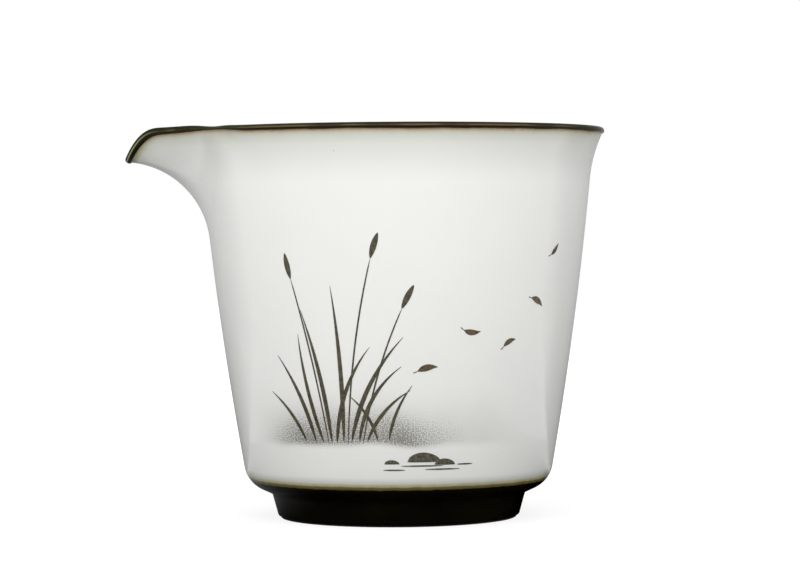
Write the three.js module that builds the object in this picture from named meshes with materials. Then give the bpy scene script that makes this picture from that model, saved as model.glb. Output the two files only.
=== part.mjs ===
// Tea pitcher: a flared bowl of glazed stoneware on a foot ring, with a beak pulled out of its rim.
// Millimetres, +Z up, standing on z = 0. The beak points along -X, and the part is centred on its
// footprint.

import * as THREE from "three";
import { mergeVertices } from "three/addons/utils/BufferGeometryUtils.js";

const degrees = THREE.MathUtils.degToRad;
const between = THREE.MathUtils.lerp;

// Bowl, as it comes off the wheel: outside sizes, glaze included
const height = 80; // table to the top of the rim
const mouthRadius = 42.95; // the wall carried up to the rim's height
const flareDepth = 10.5; // the lip begins to turn out this far below the rim
const flareOut = 2.2; // and turns out this far
const wallBow = 0.88; // how far the wall swells past a straight cone
const shoulderRadius = 31.2; // the sharp corner between wall and underside, before rounding
const shoulderRise = 2.35; // that corner above the neck
const shoulderRound = 6;

// Foot ring
const footHeight = 5.1; // table to the neck, where ring and bowl meet
const neckRadius = 26.1;
const neckRound = 0.8;
const footRadius = 24.7; // outside of the ring at the table
const footWidth = 3; // bare clay that it rests on, before rounding
const recessTaper = 0.9; // the recess is this much narrower at its ceiling
const footEdgeRound = 0.4;

// Thicknesses
const wallThickness = 3; // low on the wall, both coats included
const lipThickness = 1.6;
const floorThickness = 3.2; // clay alone
const innerCornerRound = 7;
const glaze = 0.4;
const rimBead = 0.2; // extra thickness of the dark glaze on the lip, where it hangs to the outside

// Where one glaze stops and the next begins
const whiteStart = 4; // above the neck
const overlapWidth = 0.85; // the olive line under the white coat
const bareEdge = 0.45; // clay left bare above the table

// Beak
const beakDepth = 22.6; // the wall begins to lean out this far below the rim
const beakBendRadius = 18.1; // of the underside, seen from the side
const beakEndLean = degrees(84); // lean of the tip from upright
const beakReach = 56.25; // axis to where the underside runs out at the tip
const beakSpread = degrees(34); // half the beak's width at the rim, as an angle about the axis
const rootSpread = 0.45; // the share of that width which it has at its root
const pouringSpread = degrees(13.8); // half the width of the pouring edge, which dips to the tip
const wingLift = 0.27; // the rim rises a little between the pouring edge and the finger marks
const wingAngle = degrees(22);
const wingWidth = degrees(6);
const pinchDepth = 0.35; // the finger marks where the beak leaves the round rim
const pinchAngle = degrees(32); // at the rim
const pinchSweep = degrees(8); // each mark runs this much further round as it goes down
const pinchWidth = degrees(6.5);
const pinchHeight = 12;

// Facets
const columns = 56;
const columnCrowding = 0.4; // 0 spaces them evenly, and more gathers them at the beak
const lowerRows = 3;
const beakRows = 7;
const cornerSteps = 3;
const neckSteps = 2;
const edgeSteps = 2;
const lipSteps = 6;
const clayLipSteps = 4;

const shoulderHeight = footHeight + shoulderRise;
const flareStart = height - flareDepth;
const rootHeight = height - beakDepth;
const pinchStart = height - pinchHeight;
const slopeStep = 0.01;

// The wall before the beak is pulled

function wallRadius(z) {
  const rise = (z - shoulderHeight) / (height - shoulderHeight);
  const flare = Math.max(0, (z - flareStart) / flareDepth);
  const cone = between(shoulderRadius, mouthRadius - flareOut, rise);
  return cone + 4 * wallBow * rise * (1 - rise) + flareOut * flare ** 2;
}

function wallLean(z) {
  return Math.atan2(wallRadius(z + slopeStep) - wallRadius(z - slopeStep), 2 * slopeStep);
}

// The section is drawn in stations: points on the glazed outside, in radius and height, each with
// its outward normal. A layer is the same stations sunk by its depth, so the coats fit one another.

function station(radius, z, lean) {
  return { at: new THREE.Vector2(radius, z), out: new THREE.Vector2(Math.cos(lean), -Math.sin(lean)) };
}

function wallStation(z) {
  return station(wallRadius(z), z, wallLean(z));
}

function leanOf(from, to) {
  return Math.atan2(to.x - from.x, to.y - from.y);
}

function roundedCorner(before, corner, after, radius, steps) {
  const leanIn = leanOf(before, corner);
  const turn = leanOf(corner, after) - leanIn;
  const side = Math.sign(-turn); // 1 where the corner stands out, -1 where it is hollow
  const reach = radius * Math.tan(Math.abs(turn) / 2);
  const start = corner.clone().addScaledVector(corner.clone().sub(before).normalize(), -reach);
  const first = station(start.x, start.y, leanIn);
  const centre = first.at.clone().addScaledVector(first.out, -side * radius);
  return Array.from({ length: steps + 1 }, (_, step) => {
    const here = station(0, 0, leanIn + (turn * step) / steps);
    here.at.copy(centre).addScaledVector(here.out, side * radius);
    return here;
  });
}

function sunk(stations, depthAt) {
  return stations.map(({ at, out }) => at.clone().addScaledVector(out, -depthAt(at.y)));
}

const lipRadius = lipThickness / 2;
const lipCentreHeight = height - lipRadius - rimBead / 2;
const wallTop = lipCentreHeight - lipRadius * Math.sin(wallLean(lipCentreHeight));

function outsideStations() {
  const foot = new THREE.Vector2(footRadius, 0);
  const neck = new THREE.Vector2(neckRadius, footHeight);
  const shoulder = new THREE.Vector2(shoulderRadius, shoulderHeight);
  const lean = wallLean(shoulderHeight);
  const above = new THREE.Vector2(Math.sin(lean), Math.cos(lean)).add(shoulder);
  const neckStations = roundedCorner(foot, neck, shoulder, neckRound, neckSteps);
  const shoulderStations = roundedCorner(neck, shoulder, above, shoulderRound, cornerSteps);
  const wallBottom = shoulderStations.at(-1).at.y;
  const lower = Array.from({ length: lowerRows }, (_, row) =>
    wallStation(between(wallBottom, rootHeight, (row + 1) / lowerRows)),
  );
  const upper = Array.from({ length: beakRows }, (_, row) =>
    wallStation(between(rootHeight, wallTop, (row + 1) / beakRows)),
  );
  return {
    stations: [
      station(foot.x, foot.y, leanOf(foot, neck)),
      ...neckStations,
      ...shoulderStations,
      ...lower,
      ...upper,
    ],
    neckIndex: 1,
    innerIndex: neckStations.length + shoulderStations.length + 1,
  };
}

const { stations, neckIndex, innerIndex } = outsideStations();
const topIndex = stations.length - 1;
const wallBottom = stations[innerIndex].at.y;

function thicknessAt(z) {
  return between(wallThickness, lipThickness, (z - wallBottom) / (wallTop - wallBottom));
}

const outside = sunk(stations, () => 0);
const clayOutside = sunk(stations, () => glaze);
const inside = sunk(stations, thicknessAt);
const clayInside = sunk(stations, (z) => thicknessAt(z) - glaze);

// A run of an outline between two places on it, which may lie part of the way along a facet

function pointAt(outline, place) {
  const below = Math.floor(place);
  return below === place
    ? outline[below].clone()
    : outline[below].clone().lerp(outline[below + 1], place - below);
}

function run(outline, from, to) {
  const whole = outline.filter((_, index) => index > from && index < to);
  return [pointAt(outline, from), ...whole, pointAt(outline, to)];
}

function placeOfHeight(z) {
  const above = outside.findIndex((point) => point.y > z);
  const [low, high] = [outside[above - 1], outside[above]];
  return above - 1 + (z - low.y) / (high.y - low.y);
}

function coat(outer, inner, from, to) {
  return [...run(outer, from, to), ...run(inner, from, to).reverse()];
}

function onLine(a, b, z) {
  return a.clone().lerp(b, (z - a.y) / (b.y - a.y));
}

const lip = stations[topIndex];
const lipCentre = lip.at.clone().addScaledVector(lip.out, -lipRadius);

function lipArc(radiusAt, steps) {
  return Array.from({ length: steps + 1 }, (_, step) => {
    const turn = (Math.PI * step) / steps;
    const spoke = lip.out.clone().multiplyScalar(radiusAt(turn));
    return spoke.rotateAround(new THREE.Vector2(), turn).add(lipCentre);
  });
}

const outsideLip = lipArc((turn) => lipRadius + rimBead * (1 + Math.sin(2 * turn)), lipSteps);
const clayLip = lipArc(() => lipRadius - glaze, clayLipSteps).slice(1, -1);

// The floor and the foot ring

const joint = clayOutside[neckIndex]; // the ring is luted to the bowl in this plane
const clayFloor = joint.y + floorThickness;
const footWallFoot = onLine(clayOutside[0], clayOutside[1], 0);
const recessFoot = new THREE.Vector2(footWallFoot.x - footWidth, 0);
const recessTop = new THREE.Vector2(recessFoot.x - recessTaper, joint.y);

function floorRun(wall, level, radius) {
  const low = wall[innerIndex];
  const corner = onLine(low, wall[innerIndex + 1], level);
  const middle = new THREE.Vector2(0, level);
  const rounding = roundedCorner(low, corner, middle, radius, cornerSteps).map(({ at }) => at);
  return [...wall.slice(innerIndex, topIndex + 1).reverse(), ...rounding, middle];
}

const bowlInside = floorRun(inside, clayFloor + glaze, innerCornerRound);
const clayBowlInside = floorRun(clayInside, clayFloor, innerCornerRound + glaze);

function clayBodySection() {
  return [
    new THREE.Vector2(0, joint.y),
    ...clayOutside.slice(neckIndex),
    ...clayLip,
    ...clayBowlInside,
  ];
}

function footRingSection() {
  const outerEdge = roundedCorner(recessFoot, footWallFoot, joint, footEdgeRound, edgeSteps);
  const innerEdge = roundedCorner(recessTop, recessFoot, footWallFoot, footEdgeRound, edgeSteps);
  return [...innerEdge, ...outerEdge].map(({ at }) => at).concat([joint, recessTop]);
}

function innerGlazeSection() {
  return [...clayBowlInside].reverse().concat(bowlInside);
}

function rimGlazeSection() {
  return [
    clayOutside[topIndex],
    outside[topIndex],
    ...outsideLip,
    inside[topIndex],
    clayInside[topIndex],
    ...[...clayLip].reverse(),
  ];
}

// The coat under the floor runs down the inside of the ring and stops at the bare edge.
function baseGlazeSection() {
  const ceiling = joint.y - glaze;
  const coatEnd = onLine(recessFoot, recessTop, bareEdge);
  const wallLow = coatEnd.clone().setX(coatEnd.x - glaze);
  const wallHigh = new THREE.Vector2(recessTop.x - glaze, ceiling);
  const middle = new THREE.Vector2(0, ceiling);
  const rounding = roundedCorner(wallLow, wallHigh, middle, neckRound, edgeSteps).map(({ at }) => at);
  return [new THREE.Vector2(0, joint.y), recessTop, coatEnd, wallLow, ...rounding, middle];
}

// The beak. Angles are measured about the axis from the beak.

const rootLean = wallLean(rootHeight);
const rootRadius = wallRadius(rootHeight);
const bentOut = rootRadius + beakBendRadius * (Math.cos(rootLean) - Math.cos(beakEndLean));
const bentLength = beakBendRadius * (beakEndLean - rootLean);
const beakLength = bentLength + (beakReach - bentOut) / Math.sin(beakEndLean);

// The underside in the middle plane: the wall bends out on an arc and runs on straight to the tip.
function beakLine(z) {
  const length = ((z - rootHeight) / beakDepth) * beakLength;
  const bent = Math.min(length, bentLength);
  const lean = rootLean + bent / beakBendRadius;
  const straight = length - bent;
  return {
    out: rootRadius + beakBendRadius * (Math.cos(rootLean) - Math.cos(lean)) + straight * Math.sin(lean),
    up: rootHeight + beakBendRadius * (Math.sin(lean) - Math.sin(rootLean)) + straight * Math.cos(lean),
  };
}

function beakShare(angle, rise) {
  const spread = beakSpread * between(rootSpread, 1, rise);
  return Math.abs(angle) < spread ? Math.cos((Math.PI / 2) * (angle / spread)) ** 3 : 0;
}

function pouringShare(angle) {
  return Math.max(0, 1 - (angle / pouringSpread) ** 2) ** 3;
}

function pinchShare(angle, rise, z) {
  const middle = pinchAngle + pinchSweep * (1 - rise ** 8);
  const bell = Math.exp(-(((Math.abs(angle) - middle) / pinchWidth) ** 2));
  return bell * THREE.MathUtils.smoothstep(z, pinchStart, height);
}

function wingShare(angle) {
  return Math.exp(-(((Math.abs(angle) - wingAngle) / wingWidth) ** 2));
}

function turnedWall(angle, z) {
  const radius = wallRadius(z);
  return new THREE.Vector3(-radius * Math.cos(angle), radius * Math.sin(angle), z);
}

function pulledWall(angle, z) {
  const rise = Math.max(0, (z - rootHeight) / beakDepth);
  const line = beakLine(z);
  const share = beakShare(angle, rise);
  const radius = wallRadius(z) - pinchDepth * pinchShare(angle, rise, z);
  const lift = wingLift * rise ** 2 * wingShare(angle);
  return new THREE.Vector3(
    -radius * Math.cos(angle) - share * (line.out - wallRadius(z)),
    radius * Math.sin(angle),
    z + pouringShare(angle) * (line.up - z) + lift,
  );
}

function normalOf(wall, angle, z) {
  const round = wall(angle + slopeStep, z).sub(wall(angle - slopeStep, z));
  const up = wall(angle, z + slopeStep).sub(wall(angle, z - slopeStep));
  return up.cross(round).normalize();
}

// Pulling moves the outside of the wall, and what lies inside it leans over with it, so the clay and
// the coats keep their thickness out to the tip.
function pull(point) {
  if (point.z <= rootHeight) return;
  const angle = Math.atan2(point.y, -point.x);
  const depth = Math.hypot(point.x, point.y) - wallRadius(point.z);
  const lean = new THREE.Quaternion().setFromUnitVectors(
    normalOf(turnedWall, angle, point.z),
    normalOf(pulledWall, angle, point.z),
  );
  const inward = new THREE.Vector3(-Math.cos(angle), Math.sin(angle), 0).applyQuaternion(lean);
  point.copy(pulledWall(angle, point.z)).addScaledVector(inward, depth);
}

function crowd(point) {
  const angle = Math.atan2(point.y, -point.x);
  const radius = Math.hypot(point.x, point.y);
  const moved = angle - columnCrowding * (Math.sin(angle) + Math.sin(2 * angle) / 4);
  point.set(-radius * Math.cos(moved), radius * Math.sin(moved), point.z);
}

// Turning: a section is revolved about the axis, and the beak is pulled out of what comes of it.

// Each facet is split along its shorter diagonal, whichever way its outline runs, so two pieces that
// share a surface share its facets too.
function splitFacets(geometry) {
  const places = geometry.attributes.position;
  const corners = geometry.index.array;
  const spot = (index) => new THREE.Vector3().fromBufferAttribute(places, index);
  const split = [];
  for (let i = 0; i < corners.length; i += 6) {
    const [a, b, d, c] = corners.slice(i, i + 4);
    const shorter = spot(a).distanceTo(spot(c)) < spot(b).distanceTo(spot(d));
    split.push(...(shorter ? [a, b, c, a, c, d] : [a, b, d, c, d, b]));
  }
  geometry.setIndex(split);
}

function closedSurface(geometry) {
  geometry.deleteAttribute("normal");
  geometry.deleteAttribute("uv");
  const merged = mergeVertices(geometry);
  const corners = merged.index.array;
  const kept = [];
  for (let i = 0; i < corners.length; i += 3) {
    const [a, b, c] = corners.slice(i, i + 3);
    if (a !== b && b !== c && c !== a) kept.push(a, b, c);
  }
  merged.setIndex(kept);
  return merged;
}

function turned(name, section, material) {
  const outline = THREE.ShapeUtils.isClockWise(section) ? [...section].reverse() : [...section];
  const meetsAxis = outline[0].x === 0 && outline.at(-1).x === 0;
  if (!meetsAxis) outline.push(outline[0]);
  const net = new THREE.LatheGeometry(outline, columns).rotateX(Math.PI / 2);
  const places = net.attributes.position;
  const point = new THREE.Vector3();
  for (let i = 0; i < places.count; i++) {
    point.fromBufferAttribute(places, i);
    crowd(point);
    pull(point);
    places.setXYZ(i, point.x, point.y, point.z);
  }
  splitFacets(net);
  const geometry = closedSurface(net);
  geometry.computeVertexNormals();
  const mesh = new THREE.Mesh(geometry, material);
  mesh.name = name;
  return mesh;
}

// Finishes

function finish(color, roughness) {
  return new THREE.MeshStandardMaterial({ color, roughness, metalness: 0 });
}

const bareClay = finish(0x6b5140, 0.85);
const darkGlaze = finish(0x14120e, 0.12);
const whiteGlaze = finish(0xebebe7, 0.16);
const oliveGlaze = finish(0x7d7340, 0.2);

const overlapEnd = placeOfHeight(footHeight + whiteStart);
const overlapStart = placeOfHeight(footHeight + whiteStart - overlapWidth);
const footGlazeStart = placeOfHeight(bareEdge);

const pitcher = new THREE.Group();
pitcher.add(
  turned("clay_body", clayBodySection(), bareClay),
  turned("foot_ring", footRingSection(), bareClay),
  turned("inner_glaze", innerGlazeSection(), darkGlaze),
  turned("rim_glaze", rimGlazeSection(), darkGlaze),
  turned("white_glaze", coat(outside, clayOutside, overlapEnd, topIndex), whiteGlaze),
  turned("overlap_line", coat(outside, clayOutside, overlapStart, overlapEnd), oliveGlaze),
  turned("foot_glaze", coat(outside, clayOutside, footGlazeStart, overlapStart), darkGlaze),
  turned("base_glaze", baseGlazeSection(), darkGlaze),
);

const footprint = new THREE.Box3().setFromObject(pitcher).getCenter(new THREE.Vector3());
pitcher.position.x = -footprint.x;

export default pitcher;
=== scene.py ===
# %% [markdown]
# # A tea pitcher in two glazes
# This is a small stoneware pitcher with no handle. Tea is poured into it, mixes, and is then shared
# out from the beak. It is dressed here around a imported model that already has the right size, so
# nothing below changes the object's size. Every piece is modelled again as a fine mesh with the
# modelling operators, and then gets its glaze or its bare clay as a material made of nodes.
# Lengths are in millimetres until a mesh is made, where they are turned into metres.

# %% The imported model
import math

import bpy
import numpy as np
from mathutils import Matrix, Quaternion, Vector


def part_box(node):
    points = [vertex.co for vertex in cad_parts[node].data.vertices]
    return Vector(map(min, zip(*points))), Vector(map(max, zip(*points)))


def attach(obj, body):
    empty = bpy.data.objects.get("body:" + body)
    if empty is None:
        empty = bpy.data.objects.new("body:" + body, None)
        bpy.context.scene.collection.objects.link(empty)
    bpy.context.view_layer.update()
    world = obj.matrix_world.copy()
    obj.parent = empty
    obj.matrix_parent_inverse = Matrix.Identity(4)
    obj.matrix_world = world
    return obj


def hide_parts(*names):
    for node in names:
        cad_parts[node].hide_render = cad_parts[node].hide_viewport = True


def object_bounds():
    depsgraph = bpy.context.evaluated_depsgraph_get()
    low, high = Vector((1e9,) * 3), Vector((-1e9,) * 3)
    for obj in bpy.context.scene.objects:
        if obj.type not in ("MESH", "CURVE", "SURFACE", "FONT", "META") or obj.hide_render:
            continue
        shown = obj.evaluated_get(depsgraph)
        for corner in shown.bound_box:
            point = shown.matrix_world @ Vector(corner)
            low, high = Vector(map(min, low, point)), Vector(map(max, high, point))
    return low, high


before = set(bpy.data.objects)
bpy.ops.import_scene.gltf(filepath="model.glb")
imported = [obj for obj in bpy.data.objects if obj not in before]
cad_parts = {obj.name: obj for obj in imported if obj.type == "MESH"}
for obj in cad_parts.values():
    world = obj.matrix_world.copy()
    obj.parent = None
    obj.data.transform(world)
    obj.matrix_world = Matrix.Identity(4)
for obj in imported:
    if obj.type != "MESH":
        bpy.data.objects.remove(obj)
cad_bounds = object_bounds()
mm = 0.001
table_height = cad_bounds[0].z / mm
overlap_low, overlap_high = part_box("overlap_line")
axis_x = (overlap_low.x + overlap_high.x) / 2 / mm
print("the bowl's axis stands", round(axis_x, 2), "mm from the origin")

# %% [markdown]
# ## The sizes a potter would write down
# The bowl is round, so its outside is one line that is turned about an axis. The line has a foot, a
# sharp neck, a rounded shoulder and a wall that swells a little and flares out at the lip. These are
# the few sizes that draw that line, with those of the beak that is pulled out of it.

# %% Driving sizes, in millimetres
height = 80.0
mouth_radius = 42.95
flare_depth = 10.5
flare_out = 2.2
wall_bow = 0.88
shoulder_radius = 31.2
shoulder_rise = 2.35
shoulder_round = 6.0

foot_height = 5.1
neck_radius = 26.1
neck_round = 0.8
foot_radius = 24.7
foot_width = 3.0
recess_taper = 0.9
foot_edge_round = 0.4

wall_thickness = 3.0
lip_thickness = 1.6
floor_thickness = 3.2
inner_corner_round = 7.0
glaze = 0.4
rim_bead = 0.2

white_start = 4.0
overlap_width = 0.85
bare_edge = 0.45
print("wall", wall_thickness, "mm thick at the floor and", lip_thickness, "mm at the lip")

# %% Driving sizes of the beak, with its angles turned into radians
beak_depth = 22.6
beak_bend_radius = 18.1
beak_end_lean = math.radians(84)
beak_reach = 56.25
beak_spread = math.radians(34)
root_spread = 0.45
pouring_spread = math.radians(13.8)
wing_lift = 0.27
wing_angle = math.radians(22)
wing_width = math.radians(6)
pinch_depth = 0.35
pinch_angle = math.radians(32)
pinch_sweep = math.radians(8)
pinch_width = math.radians(6.5)
pinch_height = 12.0
rim_dip = 0.12  # on the side away from the beak

shoulder_height = foot_height + shoulder_rise
flare_start = height - flare_depth
root_height = height - beak_depth
pinch_start = height - pinch_height
print("wall from", shoulder_height, "to", height, "and beak root at", root_height)

# %% [markdown]
# ## The line of the wall
# A straight cone, a slight swelling, and a flare that starts near the lip. The line is kept as a
# formula, so it can be sampled as finely as a smooth glaze needs.

# %% Wall radius at any height
slope_step = 0.01


def wall_radius(z):
    rise = (z - shoulder_height) / (height - shoulder_height)
    flare = np.maximum(0, (z - flare_start) / flare_depth)
    cone = shoulder_radius + (mouth_radius - flare_out - shoulder_radius) * rise
    return cone + 4 * wall_bow * rise * (1 - rise) + flare_out * flare**2


def wall_lean(z):
    run = wall_radius(z + slope_step) - wall_radius(z - slope_step)
    return math.atan2(run, 2 * slope_step)


for z in (10, 40, 70, 79):
    print("wall radius at", z, "mm is", round(float(wall_radius(z)), 2))

# %% [markdown]
# ## Stations on the outside
# A station is a point of the line with the direction that faces out of the wall there. The clay, the
# glaze coats and the inside are the same stations sunk to their own depth. That is how real coats
# fit on real clay, and it leaves no gaps between the pieces.

# %% Rounded corners


def lean_of(start, end):
    return math.atan2(end[0] - start[0], end[1] - start[1])


def out_of(lean):
    return np.array([math.cos(lean), -math.sin(lean)])


def rounded_corner(before, corner, after, radius, steps):
    """The arc that rounds a corner, as points with their outward directions."""
    before, corner, after = (np.asarray(point, float) for point in (before, corner, after))
    lean_in = lean_of(before, corner)
    turn = lean_of(corner, after) - lean_in
    side = math.copysign(1, -turn)
    into = (corner - before) / np.linalg.norm(corner - before)
    start = corner - into * radius * math.tan(abs(turn) / 2)
    centre = start - side * radius * out_of(lean_in)
    outs = [out_of(lean_in + turn * step / steps) for step in range(steps + 1)]
    return [(centre + side * radius * out, out) for out in outs]


def corner_points(before, corner, after, radius, steps):
    return [at for at, _ in rounded_corner(before, corner, after, radius, steps)]


right_angle = corner_points((0, 0), (1, 0), (1, 1), 0.5, 2)
print("a rounded right angle:", [at.round(2).tolist() for at in right_angle])

# %% Stations
neck_steps = 5
shoulder_steps = 12
lower_rows = 26
beak_rows = 30
edge_steps = 4


def wall_stations(low, high, rows):
    heights = [low + (high - low) * (row + 1) / rows for row in range(rows)]
    return [(np.array([wall_radius(z), z]), out_of(wall_lean(z))) for z in heights]


def sunk(stations, depths):
    """The stations moved into the wall by their depths, as a run of points."""
    return np.array([at - out * depth for (at, out), depth in zip(stations, depths)])


print("rows of the wall:", lower_rows, "below the beak and", beak_rows, "beside it")

# %% The whole outside, from the foot to where the lip begins to curl over
lip_radius = lip_thickness / 2
lip_centre_height = height - lip_radius - rim_bead / 2
wall_top = lip_centre_height - lip_radius * math.sin(wall_lean(lip_centre_height))

foot_corner = (foot_radius, 0)
neck_corner = (neck_radius, foot_height)
shoulder_corner = (shoulder_radius, shoulder_height)
wall_start_lean = wall_lean(shoulder_height)
above_shoulder = (
    shoulder_radius + math.sin(wall_start_lean),
    shoulder_height + math.cos(wall_start_lean),
)
foot_lean = lean_of(foot_corner, neck_corner)
neck = rounded_corner(foot_corner, neck_corner, shoulder_corner, neck_round, neck_steps)
shoulder = rounded_corner(
    neck_corner, shoulder_corner, above_shoulder, shoulder_round, shoulder_steps
)
wall_bottom = shoulder[-1][0][1]
stations = [(np.array(foot_corner, float), out_of(foot_lean)), *neck, *shoulder]
inner_start = len(stations)
stations += wall_stations(wall_bottom, root_height, lower_rows)
stations += wall_stations(root_height, wall_top, beak_rows)
print(len(stations), "stations, and the lip curls over from", round(wall_top, 2), "mm")

# %% The same line at its four depths
heights = np.array([at[1] for at, _ in stations])
towards_lip = (heights - heights[inner_start]) / (wall_top - heights[inner_start])
thickness = wall_thickness + (lip_thickness - wall_thickness) * towards_lip

outside = sunk(stations, np.zeros(len(stations)))
clay_outside = sunk(stations, np.full(len(stations), glaze))
inside = sunk(stations, thickness)
clay_inside = sunk(stations, thickness - glaze)
print("clay at the foot of the wall:", round(thickness[inner_start] - 2 * glaze, 2), "mm")

# %% [markdown]
# ## Cutting the line into coats
# Each coat covers a stretch of the outside between two heights. The stretch is closed with the same
# stretch of the clay under it, and the two together are the coat's section.

# %% Stretches of an outline


def stretch(outline, start, end):
    """The part of an outline between two places on it, which may lie between two stations."""
    whole = np.arange(math.floor(start) + 1, math.ceil(end))
    places = np.concatenate([[start], whole, [end]])
    index = np.arange(len(outline))
    return np.column_stack([np.interp(places, index, outline[:, axis]) for axis in (0, 1)])


def place_of_height(z):
    return float(np.interp(z, outside[:, 1], np.arange(len(outside))))


def coat(start, end):
    return np.concatenate([stretch(outside, start, end), stretch(clay_outside, start, end)[::-1]])


def coat_with_round_foot(start, end, radius, steps):
    """A coat whose lower end is rounded, as glaze draws itself in above a wiped edge."""
    face, back = stretch(outside, start, end), stretch(clay_outside, start, end)
    rounding = corner_points(back[0], face[0], face[1], radius, steps)
    return np.concatenate([rounding, face[1:], back[::-1]])


def on_line(start, end, z):
    return start + (end - start) * (z - start[1]) / (end[1] - start[1])


print("the flare starts at place", round(place_of_height(flare_start), 1))

# %% The lip, which is a half circle on the end of the wall
lip_steps = 26
bead_edge = 0.09  # share of the half circle over which the bead swells out of the wall
lip_at, lip_out = stations[-1]
lip_centre = lip_at - lip_out * lip_radius
lip_lean = math.atan2(lip_out[1], lip_out[0])


def lip_arc(radius_at):
    shares = np.linspace(0, 1, lip_steps + 1)
    angles = lip_lean + math.pi * shares
    radii = np.array([radius_at(share) for share in shares])[:, None]
    return lip_centre + radii * np.column_stack([np.cos(angles), np.sin(angles)])


def bead_radius(share):
    """Thick glaze hangs to the outside of the lip, and thins out on the inside."""
    swell = min(1, share / bead_edge, (1 - share) / bead_edge)
    return lip_radius + rim_bead * (1 + math.sin(2 * math.pi * share)) * swell * (2 - swell)


outside_lip = lip_arc(bead_radius)
clay_lip = lip_arc(lambda share: lip_radius - glaze)[1:-1]
print("the lip's middle is", round(float(lip_centre[0]), 2), "mm from the axis")

# %% The floor inside, and the joint between bowl and foot ring
joint = clay_outside[1]
clay_floor = joint[1] + floor_thickness
foot_wall_foot = on_line(clay_outside[0], clay_outside[1], 0)
recess_foot = np.array([foot_wall_foot[0] - foot_width, 0])
recess_top = np.array([recess_foot[0] - recess_taper, joint[1]])
floor_steps = 10


def floor_run(wall, level, radius):
    """Down the inside of the wall, round the corner and in along the floor to the axis."""
    low = wall[inner_start]
    corner = on_line(low, wall[inner_start + 1], level)
    rounding = np.array(corner_points(low, corner, (0, level), radius, floor_steps))
    above = wall[inner_start:][::-1]
    above = above[above[:, 1] > rounding[0, 1]]
    return np.concatenate([above, rounding, [[0, level]]])


bowl_inside = floor_run(inside, clay_floor + glaze, inner_corner_round)
clay_bowl_inside = floor_run(clay_inside, clay_floor, inner_corner_round + glaze)
print("floor inside at", round(clay_floor + glaze, 2), "mm")

# %% [markdown]
# ## The beak
# A potter pulls the beak with a wet finger while two fingers of the other hand hold the rim. So the
# beak isn't a separate part: the wall itself leans out, most in the middle and less to both sides,
# and the two holding fingers leave a shallow pinch where the round rim begins. The formulas below
# say where each point of the turned wall ends up.

# %% The beak's underside
root_lean = wall_lean(root_height)
root_radius = float(wall_radius(root_height))
bent_out = root_radius + beak_bend_radius * (math.cos(root_lean) - math.cos(beak_end_lean))
bent_length = beak_bend_radius * (beak_end_lean - root_lean)
beak_length = bent_length + (beak_reach - bent_out) / math.sin(beak_end_lean)


def beak_line(z):
    """The underside in the middle plane: it bends out on an arc and runs on straight to the tip."""
    length = (z - root_height) / beak_depth * beak_length
    bent = np.minimum(length, bent_length)
    lean = root_lean + bent / beak_bend_radius
    straight = length - bent
    bent_by = beak_bend_radius * (math.cos(root_lean) - np.cos(lean))
    risen_by = beak_bend_radius * (np.sin(lean) - math.sin(root_lean))
    out = root_radius + bent_by + straight * np.sin(lean)
    up = root_height + risen_by + straight * np.cos(lean)
    return out, up


print("beak", round(beak_length, 1), "mm long along its underside")

# %% The pulled wall


def smooth(share):
    share = np.clip(share, 0, 1)
    return share * share * (3 - 2 * share)


def bell(angle, middle, width):
    """One at the middle, on both sides of the beak, and nearly nought two widths away."""
    return np.exp(-(((np.abs(angle) - middle) / width) ** 2))


def turned_wall(angle, z):
    radius = wall_radius(z)
    return np.column_stack([-radius * np.cos(angle), radius * np.sin(angle), z])


def pulled_wall(angle, z):
    rise = np.maximum(0, (z - root_height) / beak_depth)
    out, up = beak_line(z)
    spread = beak_spread * (root_spread + (1 - root_spread) * rise)
    share = np.cos(math.pi / 2 * np.clip(angle / spread, -1, 1)) ** 3
    pouring = np.maximum(0, 1 - (angle / pouring_spread) ** 2) ** 3
    pinch_middle = pinch_angle + pinch_sweep * (1 - rise**8)
    pinch = bell(angle, pinch_middle, pinch_width) * smooth((z - pinch_start) / pinch_height)
    radius = wall_radius(z) - pinch_depth * pinch
    lift = wing_lift * rise**2 * bell(angle, wing_angle, wing_width)
    dip = rim_dip * rise * (1 - np.cos(angle)) / 2
    x = -radius * np.cos(angle) - share * (out - wall_radius(z))
    return np.column_stack([x, radius * np.sin(angle), z + pouring * (up - z) + lift - dip])


print("tip:", pulled_wall(np.array([0.0]), np.array([height])).round(2).tolist())

# %% Points that move with the wall, so that the coats keep their thickness


def normals_of(wall, angle, z):
    around = wall(angle + slope_step, z) - wall(angle - slope_step, z)
    up = wall(angle, z + slope_step) - wall(angle, z - slope_step)
    normals = np.cross(up, around)
    return normals / np.linalg.norm(normals, axis=1, keepdims=True)


def turn_with(vectors, before, after):
    """Turns vectors by the shortest turn that takes one direction to another."""
    across = np.cross(before, after)
    alike = 1 + np.sum(before * after, axis=1, keepdims=True)
    once = np.cross(across, vectors)
    return vectors + once + np.cross(across, once) / alike


def pull(points):
    """Moves the turned points to where pulling leaves them."""
    moved = points.copy()
    chosen = points[:, 2] > root_height
    x, y, z = points[chosen].T
    angle = np.arctan2(y, -x)
    depth = np.hypot(x, y) - wall_radius(z)
    level = np.column_stack([-np.cos(angle), np.sin(angle), np.zeros(len(z))])
    before = normals_of(turned_wall, angle, z)
    after = normals_of(pulled_wall, angle, z)
    moved[chosen] = pulled_wall(angle, z) + turn_with(level, before, after) * depth[:, None]
    return moved


inside_tip = np.array([[1 - mouth_radius, 0, height]])
print("a point 1 mm inside the tip goes to", pull(inside_tip).round(2).tolist())

# %% [markdown]
# ## Hand work in the glaze lines
# A dipped or brushed edge is never a perfect circle. The two visible glaze lines are let wander by
# up to a tenth of a millimetre, as a sum of slow waves round the bowl. At the two pinches the white
# glaze climbs higher, because the dark glaze is wiped thin where the fingers held the rim.

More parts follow.
